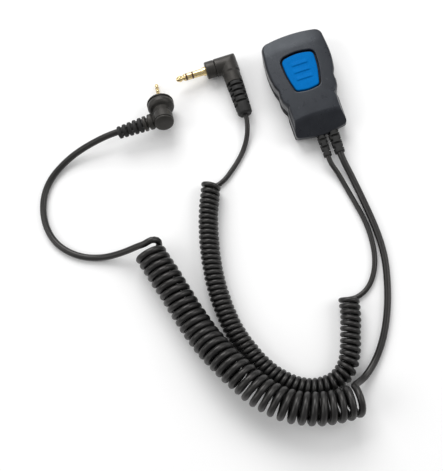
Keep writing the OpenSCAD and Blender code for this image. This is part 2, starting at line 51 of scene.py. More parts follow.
CAMERA_AT = (-46.9, -161.9, 370.3)
CAMERA_RIGHT = (0.9534, -0.2792, -0.1143)
CAMERA_UP = (0.2995, 0.9217, 0.2466)
CAMERA_FORWARD = (-0.0365, 0.2693, -0.9624)
CAMERA_LENS = 61.15
CAMERA_SENSOR = 36


def make_camera():
    """Sees the object from the photograph's viewpoint."""
    data = bpy.data.cameras.new("camera")
    data.lens = CAMERA_LENS
    data.sensor_width = CAMERA_SENSOR
    data.clip_start = 0.01
    data.clip_end = 20
    camera = bpy.data.objects.new("camera", data)
    bpy.context.scene.collection.objects.link(camera)
    axes = Matrix((CAMERA_RIGHT, CAMERA_UP, [-x for x in CAMERA_FORWARD])).transposed()
    camera.matrix_world = Matrix.Translation(Vector(CAMERA_AT) * MM) @ axes.to_4x4()
    bpy.context.scene.camera = camera


make_camera()


# ---------------------------------------------------------------- small helpers

def lerp(a, b, t):
    """The value that share of the way from one to another."""
    return a + (b - a) * t


def smoothstep(low, high, x):
    """Rises smoothly from 0 at low to 1 at high."""
    t = max(0.0, min(1.0, (x - low) / (high - low)))
    return t * t * (3 - 2 * t)


def smooth_min(a, b, width):
    """The lower of two heights, rounded where they cross."""
    h = max(0.0, width - abs(a - b)) / width
    return min(a, b) - h * h * width / 4


def lengths(points):
    """Distance along a line of points, at each point."""
    total = [0.0]
    for a, b in zip(points, points[1:]):
        total.append(total[-1] + (b - a).length)
    return total


def at_lengths(points, wanted):
    """Points at the wanted distances along a line of points."""
    along = lengths(points)
    found, i = [], 0
    for s in wanted:
        while i < len(along) - 2 and along[i + 1] < s:
            i += 1
        t = (s - along[i]) / max(along[i + 1] - along[i], 1e-9)
        found.append(points[i].lerp(points[i + 1], t))
    return found


def resampled(points, count):
    """The same line with that many points, evenly spaced."""
    total = lengths(points)[-1]
    return at_lengths(points, [total * i / (count - 1) for i in range(count)])


def smooth_line(points, steps=12):
    """A line through the given points that bends smoothly, by chord-length Catmull-Rom."""
    p = [Vector(q) for q in points]
    p = [2 * p[0] - p[1], *p, 2 * p[-1] - p[-2]]
    line = []
    for a, b, c, d in zip(p, p[1:], p[2:], p[3:]):
        before, chord, after = (b - a).length, (c - b).length, (d - c).length
        start = (b - a) / before - (c - a) / (before + chord) + (c - b) / chord
        end = (c - b) / chord - (d - b) / (chord + after) + (d - c) / after
        for i in range(steps):
            t = i / steps
            line.append(
                b * (2 * t**3 - 3 * t**2 + 1)
                + c * (3 * t**2 - 2 * t**3)
                + start * chord * (t**3 - 2 * t**2 + t)
                + end * chord * (t**3 - t**2)
            )
    line.append(p[-2])
    return line


# ---------------------------------------------------------------- cords

THIN_D = 2.4
THICK_D = 3.2
THIN_Z = THIN_D / 2 + 0.05
THICK_Z = THICK_D / 2 + 0.05
THIN_COIL_Z = 4.9
THICK_COIL_Z = 7.6
THIN_TURN_R = 3.6            # from the middle of the coil to the middle of the wire
THICK_TURN_R = 5.9
POINTS_PER_TURN = 16
# A cubic spline runs inside its control points; this puts its turns at their true radius
SPLINE_PULL = 3 / (2 + math.cos(2 * math.pi / POINTS_PER_TURN))
LEAD_POINTS = 34             # of a cord's lead, and of its tail
COIL_ROUTE_POINTS = 1200
BEND_REACH = 8               # route points either side over which a bend is measured

THIN_LEAD = [
    (-0.8, -35.8, 4.8), (-0.6, -41, 4.2), (1.2, -46.5, 2.4), (2.6, -53, THIN_Z),
    (4.4, -63, THIN_Z), (5.8, -72, THIN_Z), (5.9, -82, THIN_Z), (4.4, -91, THIN_Z),
    (1.4, -98, THIN_Z), (-2.4, -102.8, THIN_Z), (-6.6, -105.5, THIN_Z), (-10.4, -106.4, THIN_Z),
]
THIN_COIL = [
    (-13.4, -106), (-15, -113.6), (-17.6, -121), (-20.4, -129), (-24.6, -136), (-31, -140),
    (-38.6, -140.6), (-46, -138.4), (-53.2, -133), (-59.4, -125.2), (-64.2, -115.6),
    (-67.6, -105.6), (-69.4, -94), (-69.8, -82), (-68.8, -70), (-66.8, -59), (-63.8, -47.6),
    (-60, -37.6), (-58.2, -33.2),
]
THIN_TAIL = [
    (-55.6, -33.9, THIN_Z), (-51.6, -32.2, THIN_Z), (-47, -28.8, THIN_Z),
    (-42.2, -24.6, THIN_Z), (-38.6, -20.6, 1.4), (-35.2, -15.4, 2.2), (-33, -10, 3.8),
    (-32.1, -4.4, 4.7), (-32.1, -2.9, 4.7),
]
THICK_LEAD = [
    (5.2, -35.8, 4.8), (5.4, -41.5, 4.2), (6.4, -47, 2.8), (7.4, -54, THICK_Z),
    (8.4, -64, THICK_Z), (9.2, -74, THICK_Z), (9.4, -84, THICK_Z), (8.6, -93, THICK_Z),
    (6.4, -102.4, THICK_Z), (3, -112.8, THICK_Z), (-1.4, -122.6, THICK_Z),
    (-6.2, -130.4, THICK_Z), (-11.8, -137, 2), (-16.8, -141.1, 3.4), (-19.6, -142.8, 5),
    (-21.6, -143.4, 7),
]
THICK_COIL = [
    (-23.8, -150.6, 11), (-26.6, -150.8, 11.6), (-34.4, -150.8, 13), (-44.6, -148.8, 14),
    (-54.6, -144.2, 14.2), (-63, -136.6, 13.6), (-70, -126.6, 13), (-76.4, -115.4, 11.4),
    (-81.8, -103.6, 8.6), (-86, -91, THICK_COIL_Z), (-89.6, -78, THICK_COIL_Z),
    (-93.4, -65.4, THICK_COIL_Z), (-96, -56.6, THICK_COIL_Z),
]
THICK_TAIL = [
    (-89.6, -54, 9.9), (-91, -53.4, 11.9), (-93, -53.2, 12.4), (-93.8, -53.8, 12.2),
    (-99.7, -53.4, 9),
    (-105.7, -53.3, 6.4), (-111.5, -52.8, 4.2), (-117.3, -52, 2.6), (-122.7, -50.5, 1.8),
    (-127.8, -48.4, THICK_Z), (-133.6, -44.4, THICK_Z), (-139.4, -37.4, THICK_Z),
    (-142.2, -29, THICK_Z), (-142.2, -20, THICK_Z), (-139.4, -11, THICK_Z),
    (-134.2, -4, THICK_Z), (-128, 0.2, 2.2), (-121, 3.2, 3.4), (-113.6, 4.8, 5.2),
    (-106, 5.6, 7), (-99.4, 6, 8.2), (-95, 5.9, 8.7), (-93.5, 5.85, 8.87),
]


def coil_points(route, radius, wire, start_angle, pitches):
    """Points of a left-handed coil round a route, starting at an angle from the horizontal.

    pitches are (share of the route, distance between turns); where the route bends, turns
    are spaced at least so far that they don't cut each other on the inner side.
    """
    line = resampled(smooth_line(route), COIL_ROUTE_POINTS)
    along = lengths(line)
    total = along[-1]
    ahead = [(b - a).normalized() for a, b in zip(line, line[1:])]
    ahead.append(ahead[-1])
    turned = [0.0]
    for i in range(1, len(line)):
        share = along[i] / total
        (s0, p0), (s1, p1) = next(
            (a, b) for a, b in zip(pitches, pitches[1:]) if share <= b[0] + 1e-9
        )
        pitch = lerp(p0, p1, (share - s0) / (s1 - s0))
        low, high = max(i - BEND_REACH, 0), min(i + BEND_REACH, len(line) - 1)
        bend = ahead[low].angle(ahead[high]) / (along[high] - along[low])
        pitch = max(pitch, 1.01 * wire / (1 - bend * radius))
        turned.append(turned[-1] + (along[i] - along[i - 1]) / pitch)
    turns = round(turned[-1])
    count = turns * POINTS_PER_TURN
    points, j = [], 0
    for k in range(count + 1):
        want = turned[-1] * k / count
        while j < len(line) - 2 and turned[j + 1] < want:
            j += 1
        t = (want - turned[j]) / (turned[j + 1] - turned[j])
        centre = line[j].lerp(line[j + 1], t)
        tangent = ahead[j].lerp(ahead[j + 1], t).normalized()
        side = UP.cross(tangent).normalized()
        over = tangent.cross(side)
        turn = k / POINTS_PER_TURN
        angle = start_angle - 2 * math.pi * turn
        wobble = 1 + 0.010 * math.sin(1.7 * turn) + 0.008 * math.sin(0.61 * turn + 1)
        r = radius * SPLINE_PULL * (wobble if math.sin(angle) > -0.7 else 1)
        points.append(centre + r * (math.cos(angle) * side + math.sin(angle) * over))
    return points


def cord_curve(name, points, diameter, nodes):
    """One smooth open spline as a round cord, which stands for its CAD solids."""
    data = bpy.data.curves.new(name, "CURVE")
    data.dimensions = "3D"
    data.bevel_depth = 1          # times each point's radius
    data.bevel_resolution = 4
    data.resolution_u = 2
    data.use_fill_caps = True
    spline = data.splines.new("NURBS")
    spline.points.add(len(points) - 1)
    for place, p in zip(spline.points, points):
        place.co = (*(p * MM), 1)
        place.radius = diameter / 2 * MM
    spline.order_u = 4
    spline.use_endpoint_u = True
    cord = bpy.data.objects.new(name, data)
    bpy.context.scene.collection.objects.link(cord)
    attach(cord, HOUSING)
    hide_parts(*nodes)
    return cord


def lay_cord(name, lead, coil, tail, diameter, nodes):
    """Lead, coil and tail joined into one cord."""
    lead_line = resampled(smooth_line(lead), LEAD_POINTS)
    tail_line = resampled(smooth_line(tail), LEAD_POINTS)
    points = [*lead_line, *coil, *tail_line]
    return cord_curve(name, points, diameter, nodes)


thin_coil = coil_points(
    [(x, y, THIN_COIL_Z) for x, y in THIN_COIL],
    THIN_TURN_R, THIN_D, -math.pi / 2,
    [(0, 2.7), (0.35, 2.8), (0.5, 2.55), (0.94, 2.46), (1, 3.1)],
)
thick_coil = coil_points(
    THICK_COIL, THICK_TURN_R, THICK_D, math.pi,
    [(0, 3.8), (0.25, 3.95), (0.5, 3.65), (1, 3.5)],
)
thin_cord = lay_cord(
    "thin_cord", THIN_LEAD, thin_coil, THIN_TAIL, THIN_D,
    ["thin_cord_lead", "thin_cord_coil", "thin_cord_tail"],
)
thick_cord = lay_cord(
    "thick_cord", THICK_LEAD, thick_coil, THICK_TAIL, THICK_D,
    ["thick_cord_lead", "thick_cord_coil", "thick_cord_tail"],
)


# ---------------------------------------------------------------- materials

class Surface:
    """One procedural material, with its textures in the piece's own metres."""

    def __init__(self, name):
        self.material = bpy.data.materials.new(name)
        self.material.use_nodes = True
        self.tree = self.material.node_tree
        self.shader = self.tree.nodes["Principled BSDF"]
        self.place = self.node("ShaderNodeTexCoord").outputs["Object"]
        self.normal = None

    def node(self, kind, **settings):
        made = self.tree.nodes.new(kind)
        for key, value in settings.items():
            setattr(made, key, value)
        return made

    def link(self, source, socket):
        self.tree.links.new(source, socket)

    def scaled(self, size, stretch):
        """Coordinates in which a feature of that size in millimetres is one unit."""
        mapping = self.node("ShaderNodeMapping")
        mapping.inputs["Scale"].default_value = [1 / (size * MM * s) for s in stretch]
        self.link(self.place, mapping.inputs["Vector"])
        return mapping.outputs["Vector"]

    def noise(self, size, detail=3, stretch=(1, 1, 1)):
        texture = self.node("ShaderNodeTexNoise")
        texture.inputs["Scale"].default_value = 1
        texture.inputs["Detail"].default_value = detail
        self.link(self.scaled(size, stretch), texture.inputs["Vector"])
        return texture.outputs["Fac"]

    def cells(self, size, stretch=(1, 1, 1)):
        texture = self.node("ShaderNodeTexVoronoi", feature="SMOOTH_F1")
        texture.inputs["Scale"].default_value = 1
        self.link(self.scaled(size, stretch), texture.inputs["Vector"])
        return texture.outputs["Distance"]

    def ranged(self, value, low, high, out_low, out_high):
        mapped = self.node("ShaderNodeMapRange")
        ends = {"From Min": low, "From Max": high, "To Min": out_low, "To Max": out_high}
        for key, end in ends.items():
            mapped.inputs[key].default_value = end
        self.link(value, mapped.inputs["Value"])
        return mapped.outputs["Result"]

    def mixed(self, share, first, second):
        """One colour shading into another; each is a socket or a colour."""
        mix = self.node("ShaderNodeMix", data_type="RGBA")
        self.link(share, mix.inputs["Factor"])
        for key, colour in (("A", first), ("B", second)):
            socket = next(s for s in mix.inputs if s.name == key and s.type == "RGBA")
            if isinstance(colour, tuple):
                socket.default_value = (*colour, 1)
            else:
                self.link(colour, socket)
        return next(s for s in mix.outputs if s.type == "RGBA")

    def bumped(self, height, depth, strength=1.0):
        """Adds relief of that depth in millimetres over what is there already."""
        bump = self.node("ShaderNodeBump")
        bump.inputs["Distance"].default_value = depth * MM
        bump.inputs["Strength"].default_value = strength
        self.link(height, bump.inputs["Height"])
        if self.normal is not None:
            self.link(self.normal, bump.inputs["Normal"])
        self.normal = bump.outputs["Normal"]

    def finish(self, colour, rough, **fixed):
        self.link(colour, self.shader.inputs["Base Color"])
        self.link(rough, self.shader.inputs["Roughness"])
        self.link(self.normal, self.shader.inputs["Normal"])
        for key, value in fixed.items():
            self.shader.inputs[key.replace("_", " ")].default_value = value
        return self.material


def worn_edges(surface, colour, worn, share):
    """The colour, rubbed towards another one along the piece's outer edges."""
    edge = surface.node("ShaderNodeNewGeometry").outputs["Pointiness"]
    rubbed = surface.ranged(edge, 0.51, 0.60, 0, share)
    return surface.mixed(rubbed, colour, worn)


def grained_plastic(name, dark, light, rough, grain, depth, worn, share, **fixed):
    """Moulded plastic with a spark-eroded grain, cloudy tone and rubbed edges."""
    s = Surface(name)
    cloud = s.ranged(s.noise(6, 4), 0.35, 0.65, 0, 1)
    speck = s.ranged(s.noise(grain * 1.6, 2), 0.4, 0.7, 0, 0.5)
    colour = s.mixed(speck, s.mixed(cloud, dark, light), tuple(1.35 * c for c in light))
    colour = worn_edges(s, colour, worn, share)
    s.bumped(s.cells(grain), depth)
    s.bumped(s.noise(grain * 3.5, 3), depth * 0.6)
    gloss = s.ranged(s.noise(3.5, 5), 0.3, 0.7, *rough)
    return s.finish(colour, gloss, **fixed)


def soft_rubber(name, dark, light, rough, grain, depth, bloom, **fixed):
    """Matt rubber or soft PVC with a fine skin, a faint bloom and small scuffs."""
    s = Surface(name)
    cloud = s.ranged(s.noise(4, 5), 0.35, 0.68, 0, 1)
    dust = s.ranged(s.noise(1.1, 6), 0.58, 0.78, 0, bloom)
    colour = s.mixed(dust, s.mixed(cloud, dark, light), tuple(3 * c for c in light))
    s.bumped(s.noise(grain, 4), depth)
    s.bumped(s.noise(grain * 6, 2), depth * 1.5)
    gloss = s.ranged(s.noise(2.2, 4), 0.3, 0.7, *rough)
    return s.finish(colour, gloss, **fixed)


def turned_metal(name, base, warm, rough, **fixed):
    """Plated contact with turning marks round its axis and slight tarnish."""
    s = Surface(name)
    tarnish = s.ranged(s.noise(1.3, 5), 0.4, 0.7, 0, 0.7)
    colour = s.mixed(tarnish, base, warm)
    s.bumped(s.noise(0.12, 3, (30, 30, 1)), 0.006)
    s.bumped(s.noise(0.5, 3), 0.004)
    gloss = s.ranged(s.noise(0.9, 5), 0.3, 0.7, *rough)
    return s.finish(colour, gloss, Metallic=1.0, **fixed)


def circuit_mask(name, base, copper):
    """Solder mask over copper tracks."""
    s = Surface(name)
    track = s.ranged(s.noise(1.6, 0, (1, 3, 1)), 0.49, 0.51, 0, 1)
    weave = s.noise(0.35, 2)
    colour = s.mixed(track, base, copper)
    s.bumped(track, 0.03)
    s.bumped(weave, 0.01)
    return s.finish(colour, s.ranged(weave, 0.3, 0.7, 0.25, 0.42))


housing_plastic = grained_plastic(
    "housing_plastic", (0.011, 0.0115, 0.015), (0.016, 0.017, 0.021), (0.26, 0.34), 0.30, 0.008,
    (0.050, 0.052, 0.058), 0.5, Specular_IOR_Level=0.36, Specular_Tint=(0.86, 0.93, 1, 1),
)
# Same plastic as the front shell, with a darker base colour as painted shade on the rear shell's
# floor-lit flank, and a coarser, matter grain
housing_back_painted_shade = grained_plastic(
    "housing_back_painted_shade", (0.007, 0.0075, 0.009), (0.011, 0.0115, 0.014), (0.55, 0.70), 0.45, 0.014,
    (0.030, 0.031, 0.034), 0.5, Specular_IOR_Level=0.12,
)
button_plastic = grained_plastic(
    "button_plastic", (0.001, 0.112, 0.365), (0.001, 0.131, 0.415), (0.46, 0.58), 0.24, 0.006,
    (0.005, 0.17, 0.48), 0.2, Specular_IOR_Level=0.05, Specular_Tint=(0.3, 0.7, 1, 1),
)
cord_jacket = soft_rubber(
    "cord_jacket", (0.005, 0.005, 0.005), (0.009, 0.009, 0.009), (0.32, 0.44), 0.25, 0.010, 0.12,
    Specular_IOR_Level=0.5, Specular_Tint=(1, 0.97, 0.95, 1),
)
relief_rubber = soft_rubber(
    "relief_rubber", (0.012, 0.012, 0.012), (0.018, 0.018, 0.0175), (0.48, 0.62), 0.30, 0.020, 0.3,
    Specular_IOR_Level=0.3,
)
plug_rubber = soft_rubber(
    "plug_rubber", (0.014, 0.0135, 0.0125), (0.021, 0.020, 0.0185), (0.38, 0.52), 0.35, 0.018, 0.3,
    Specular_IOR_Level=0.43, Specular_Tint=(1, 0.95, 0.90, 1),
)
# Black rubber, given the darkest base colour as painted shade in the button's gap and along the
# gasket line
seal_rubber = soft_rubber(
    "seal_rubber", (0.003, 0.003, 0.004), (0.006, 0.006, 0.007), (0.6, 0.8), 0.2, 0.010, 0.1,
)
contact_gold = turned_metal(
    "contact_gold", (0.80, 0.64, 0.34), (0.55, 0.39, 0.17), (0.16, 0.34),
)
bright_steel = turned_metal(
    "bright_steel", (0.62, 0.62, 0.63), (0.42, 0.41, 0.40), (0.22, 0.42),
)
insulator = grained_plastic(
    "insulator", (0.030, 0.011, 0.007), (0.045, 0.017, 0.010), (0.3, 0.45), 0.12, 0.004,
    (0.09, 0.04, 0.025), 0.3,
)
dark_moulding = grained_plastic(
    "dark_moulding", (0.02, 0.02, 0.021), (0.03, 0.03, 0.032), (0.35, 0.5), 0.18, 0.008,
    (0.07, 0.07, 0.07), 0.4,
)
red_moulding = grained_plastic(
    "red_moulding", (0.42, 0.03, 0.02), (0.5, 0.04, 0.03), (0.35, 0.5), 0.18, 0.006,
    (0.6, 0.1, 0.08), 0.4,
)
ceramic = grained_plastic(
    "ceramic", (0.28, 0.21, 0.14), (0.36, 0.28, 0.19), (0.35, 0.55), 0.15, 0.006,
    (0.5, 0.45, 0.4), 0.3,
)
board_green = circuit_mask("board_green", (0.01, 0.09, 0.03), (0.03, 0.17, 0.05))
pad_grey = soft_rubber(
    "pad_grey", (0.10, 0.10, 0.11), (0.13, 0.13, 0.14), (0.5, 0.7), 0.25, 0.01, 0.2,
)

for cord in (thin_cord, thick_cord):
    cord.data.materials.append(cord_jacket)


# ---------------------------------------------------------------- mesh tools

WELD_WITHIN = 0.002
SHARP_ANGLE = 32             # an edge that turns by more degrees than this is rounded


def place_piece(name, grid, material, slot, body=HOUSING, stands_for=(), where=None):
    """A smooth-shaded object from a bmesh, riding on its body. where places its own frame."""
    bmesh.ops.recalc_face_normals(grid, faces=grid.faces)
    mesh = bpy.data.meshes.new(name)
    grid.to_mesh(mesh)
    grid.free()
    mesh.polygons.foreach_set("use_smooth", [True] * len(mesh.polygons))
    mesh.transform(Matrix.Scale(MM, 4))
    mesh.materials.append(material)
    piece = bpy.data.objects.new(name, mesh)
    bpy.context.scene.collection.objects.link(piece)
    if where is not None:
        piece.matrix_world = where
    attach(piece, body)
    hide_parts(*stands_for)
    return piece


def add_rings(grid, rings, joined=False):
    """Faces between rings of equally many points. joined closes the last ring to the first;
    otherwise each end ring is filled."""
    rows = [[grid.verts.new(p) for p in ring] for ring in rings]
    pairs = list(zip(rows, rows[1:]))
    if joined:
        pairs.append((rows[-1], rows[0]))
    for a, b in pairs:
        for i in range(len(a)):
            j = (i + 1) % len(a)
            grid.faces.new((a[i], a[j], b[j], b[i]))
    if not joined:
        grid.faces.new(rows[0])
        grid.faces.new(rows[-1])


def softened(profile, radius, closed):
    """The profile with its corners rounded by up to a radius."""
    made = []
    last = len(profile) - 1
    for i, point in enumerate(profile):
        b = Vector((*point, 0))
        if not closed and i in (0, last):
            made.append(b)
            continue
        a = Vector((*profile[i - 1], 0))
        c = Vector((*profile[(i + 1) % len(profile)], 0))
        start = b + (a - b).normalized() * min(radius, (a - b).length * 0.45)
        end = b + (c - b).normalized() * min(radius, (c - b).length * 0.45)
        for t in (0, 0.25, 0.5, 0.75, 1):
            made.append((1 - t) ** 2 * start + 2 * t * (1 - t) * b + t * t * end)
    return made


def add_turned(grid, profile, radius=0.12, sides=72, where=None):
    """A turned solid about +Z from a profile of (radius, height).

    A profile that starts and ends on the axis is a solid one; any other is a closed loop.
    """
    solid = profile[0][0] == 0 and profile[-1][0] == 0
    line = softened(profile, radius, not solid)
    if solid:
        line = [p for p in line if p.x > 0]
    rings = []
    for p in line:
        ring = []
        for k in range(sides):
            angle = 2 * math.pi * k / sides
            v = Vector((p.x * math.cos(angle), p.x * math.sin(angle), p.y))
            ring.append(where @ v if where is not None else v)
        rings.append(ring)
    add_rings(grid, rings, joined=not solid)


def turned_piece(name, profile, where, material, slot, radius=0.12, **placing):
    grid = bmesh.new()
    add_turned(grid, profile, radius)
    return place_piece(name, grid, material, slot, where=where, **placing)


def blended(piece, voxel, rounds):
    """Turns a piece's overlapping solids into one skin with soft joins."""
    remesh = piece.modifiers.new("one_skin", "REMESH")
    remesh.mode = "VOXEL"
    remesh.voxel_size = voxel * MM
    remesh.use_smooth_shade = True
    smooth = piece.modifiers.new("soft_joins", "SMOOTH")
    smooth.factor = 0.5
    smooth.iterations = rounds


def edge_softened(node, width):
    """Rounds a CAD node's edges; its own mesh stays as packed."""
    piece = NODES[node]
    weld = piece.modifiers.new("weld", "WELD")
    weld.merge_threshold = WELD_WITHIN * MM
    bevel = piece.modifiers.new("edges", "BEVEL")
    bevel.width = width * MM
    bevel.segments = 3
    bevel.limit_method = "ANGLE"
    bevel.angle_limit = math.radians(SHARP_ANGLE)
    piece.modifiers.new("shading", "WEIGHTED_NORMAL")


def moved(x=0, y=0, z=0):
    """A placing matrix, from millimetres."""
    return Matrix.Translation(Vector((x, y, z)) * MM)


def turned_by(degrees, axis):
    """A turning matrix about one of the axes."""
    return Matrix.Rotation(math.radians(degrees), 4, axis)


# ---------------------------------------------------------------- pod

POD_L, POD_W, POD_T, NECK_W = 52, 32.4, 14, 25.2
FRONT_Z = 5.5                # underside of the front shell
WALL = 1.8
FACE_T = 2
CROWN_R = 110
SLOPE_Y = -18.8              # where the face starts to slope to the cable end
SLOPE_Z = 7.0                # height of the slope's lower edge
BROW_Y = -POD_L / 2 - 1.5    # the slope's lower edge
SLOPE = (POD_T - SLOPE_Z) / (SLOPE_Y - BROW_Y)
BEVEL_NECK, BEVEL_BODY = 10.2, 12.4    # heights at which the edges' bevel starts
BEVEL_STEEP = 1.45
SLOPE_BLEND, BEVEL_BLEND = 0.9, 0.6    # roundness of the creases on the face
LEAST_WALL = 0.15            # height of the shell's wall where the face comes lowest
OUTLINE_POINTS = 360
POD_HALF = [
    (0, -POD_L / 2 - 1.9, 30), (NECK_W / 2, -POD_L / 2 + 0.2, 1.6),
    (NECK_W / 2 + 0.1, -13.4, 1.6), (NECK_W / 2 - 0.35, -10.6, 2.2),
    (POD_W / 2 - 2.3, -7.2, 0.9), (POD_W / 2 - 1.9, -4.4, 1.6), (POD_W / 2 - 2.1, -1.2, 2.2),
    (POD_W / 2 - 0.9, 2, 1.2), (POD_W / 2 + 0.3, 9.5, 40),
    (POD_W / 2 - 0.9, POD_L / 2 - 1.6, 4), (0, POD_L / 2 + 1, 70),
]

BUTTON_Y0, BUTTON_Y1 = -5.2, 14.4
BUTTON_LOW, BUTTON_WIDE = 11.4, 16.2
BUTTON_GAP = 0.85
BUTTON_TOP = POD_T - 0.4
BUTTON_CROWN_R = 60
FLANGE_TOP = 11.05
FLANGE_T = 1.1
FLANGE_OUT = 0.8
BUTTON_MIDDLE = Vector((0, 4.6, 0))
RIDGE_Y = (0.3, 4.2, 8.1)
RIDGE_W = 9.6
RIDGE_H = 0.42


def rounded_outline(half, count):
    """Evenly spaced points round an outline, from its right half's corners (x, y, radius)."""
    corners = [*half, *[(-x, y, r) for x, y, r in reversed(half) if x > 0]]
    line = []
    steps = 12
    for i, (x, y, r) in enumerate(corners):
        b = Vector((x, y, 0))
        before, after = corners[i - 1], corners[(i + 1) % len(corners)]
        u = (Vector((before[0], before[1], 0)) - b).normalized()
        w = (Vector((after[0], after[1], 0)) - b).normalized()
        opening = u.angle(w) / 2
        centre = b + (u + w).normalized() * (r / math.sin(opening))
        start = b + u * (r / math.tan(opening)) - centre
        end = b + w * (r / math.tan(opening)) - centre
        for k in range(steps + 1):
            line.append(centre + start.lerp(end, k / steps).normalized() * r)
    line.append(line[0])
    return resampled(line, count + 1)[:-1]


def outward(points):
    """Directions out of a closed outline, evened out along it."""
    n = len(points)
    found = []
    for i in range(n):
        along = points[(i + 1) % n] - points[i - 1]
        found.append(Vector((along.y, -along.x, 0)).normalized())
    for _ in range(4):
        found = [
            (found[i - 1] + found[i] * 2 + found[(i + 1) % n]).normalized() for i in range(n)
        ]
    return found


def matched(points, outline, middle):
    """For each point, the place on an outline that lies the same way from a middle."""
    around = sorted((math.atan2(p.y - middle.y, p.x - middle.x), i) for i, p in enumerate(outline))
    angles = [a for a, _ in around]
    ring = [outline[i] for _, i in around]
    angles = [angles[-1] - 2 * math.pi, *angles, angles[0] + 2 * math.pi]
    ring = [ring[-1], *ring, ring[0]]
    found = []
    for p in points:
        angle = math.atan2(p.y - middle.y, p.x - middle.x)
        j = max(i for i in range(len(angles) - 1) if angles[i] <= angle)
        t = (angle - angles[j]) / (angles[j + 1] - angles[j])
        found.append(ring[j].lerp(ring[j + 1], t))
    return found


def button_half(grown):
    """Right half of the button's outline, grown all round."""
    return [
        (0, BUTTON_Y0 - grown - 0.2, 12),
        (BUTTON_LOW / 2 + grown, BUTTON_Y0 - grown + 0.9, 2 + grown),
        ((BUTTON_WIDE + BUTTON_LOW) / 4 + 0.9 + grown, 4.6, 40),
        (BUTTON_WIDE / 2 + grown, BUTTON_Y1 + grown - 1.2, 2.4 + grown),
        (0, BUTTON_Y1 + grown + 0.3, 25),
    ]


def face_z(p, inside):
    """Height of the pod's face at a point that lies that far inside its outline."""
    crown = POD_T - CROWN_R + math.sqrt(CROWN_R**2 - p.x**2)
    crown -= 0.5 * smoothstep(POD_L / 2 - 9, POD_L / 2 + 1, p.y)
    slope = POD_T + 0.2 + (p.y - SLOPE_Y) * SLOPE
    bevel = lerp(BEVEL_NECK, BEVEL_BODY, smoothstep(-16, -6, p.y)) + inside * BEVEL_STEEP
    return smooth_min(smooth_min(crown, slope, SLOPE_BLEND), bevel, BEVEL_BLEND)


def pod_front():
    """The front shell: rim, wall, rounded shoulder, sloped face and the button's opening."""
    outline = rounded_outline(POD_HALF, OUTLINE_POINTS)
    normals = outward(outline)
    hole = matched(outline, rounded_outline(button_half(BUTTON_GAP), 720), BUTTON_MIDDLE)
    lip = 0.2
    edge = 0.3
    well_inside = BUTTON_GAP * 9
    floor_z = FRONT_Z + lip
    rings = []

    def ring(inset, height):
        rings.append([
            (p - n * inset).xy.to_3d() + UP * height(p, i)
            for i, (p, n) in enumerate(zip(outline, normals))
        ])

    body = [smoothstep(-15, -5, p.y) for p in outline]
    widths = [lerp(0.4, 1.2, b) for b in body]
    tops = [
        max(face_z(p - n * w, w), floor_z + LEAST_WALL)
        for p, n, w in zip(outline, normals, widths)
    ]
    drops = [min(lerp(0.45, 1.5, b), 0.75 * (top - floor_z)) for b, top in zip(body, tops)]
    ring(WALL, lambda p, i: FRONT_Z)
    ring(lip, lambda p, i: FRONT_Z)
    ring(lip * 0.3, lambda p, i: FRONT_Z + lip * 0.3)
    wall_steps = 5
    for k in range(wall_steps):
        ring(0, lambda p, i, k=k: lerp(floor_z, tops[i] - drops[i], k / wall_steps))
    round_steps = 10
    for k in range(round_steps + 1):
        turn = math.pi / 2 * k / round_steps
        row = []
        for p, n, w, d in zip(outline, normals, widths, drops):
            inset = w * (1 - math.cos(turn))
            q = p - n * inset
            top = max(face_z(q, inset), floor_z + LEAST_WALL)
            row.append(Vector((q.x, q.y, top - d * (1 - math.sin(turn)))))
        rings.append(row)
    inner = [p - n * w for p, n, w in zip(outline, normals, widths)]
    brim = [h + (h - BUTTON_MIDDLE).normalized() * edge for h in hole]
    face_steps = 44
    for k in range(1, face_steps + 1):
        row = []
        for p, a, b in zip(outline, inner, brim):
            q = a.lerp(b, k / face_steps)
            height = max(face_z(q, (q - p).length), floor_z + LEAST_WALL)
            row.append(Vector((q.x, q.y, height)))
        rings.append(row)
    for turn in (30, 60, 90):
        share = math.radians(turn)
        row = []
        for h, b in zip(hole, brim):
            q = b.lerp(h, math.sin(share))
            height = face_z(q, well_inside) - edge * (1 - math.cos(share))
            row.append(Vector((q.x, q.y, height)))
        rings.append(row)
    under = POD_T - FACE_T
    rings.append([Vector((h.x, h.y, under)) for h in hole])
    for share in (0.3, 0.7, 1):
        row = []
        for p, n, h in zip(outline, normals, hole):
            q = h.lerp(p - n * WALL, share)
            height = min(under, face_z(q, WALL) - WALL)
            row.append(Vector((q.x, q.y, max(height, FRONT_Z + 0.1 * share))))
        rings.append(row)
    grid = bmesh.new()
    add_rings(grid, rings, joined=True)
    return place_piece(
        "pod_front", grid, housing_plastic, "housing_plastic", stands_for=["front_shell"]
    )


def ridge_z(p):
    """Height of the stepped grip ridges over the button's face."""
    side = 1 - smoothstep(RIDGE_W / 2 - 1.8, RIDGE_W / 2, abs(p.x))
    height = 0.0
    for y in RIDGE_Y:
        up = smoothstep(y - 0.12, y + 0.32, p.y)
        down = 1 - smoothstep(y + 0.45, y + 2.7, p.y)
        height = max(height, RIDGE_H * min(up, down))
    return height * side


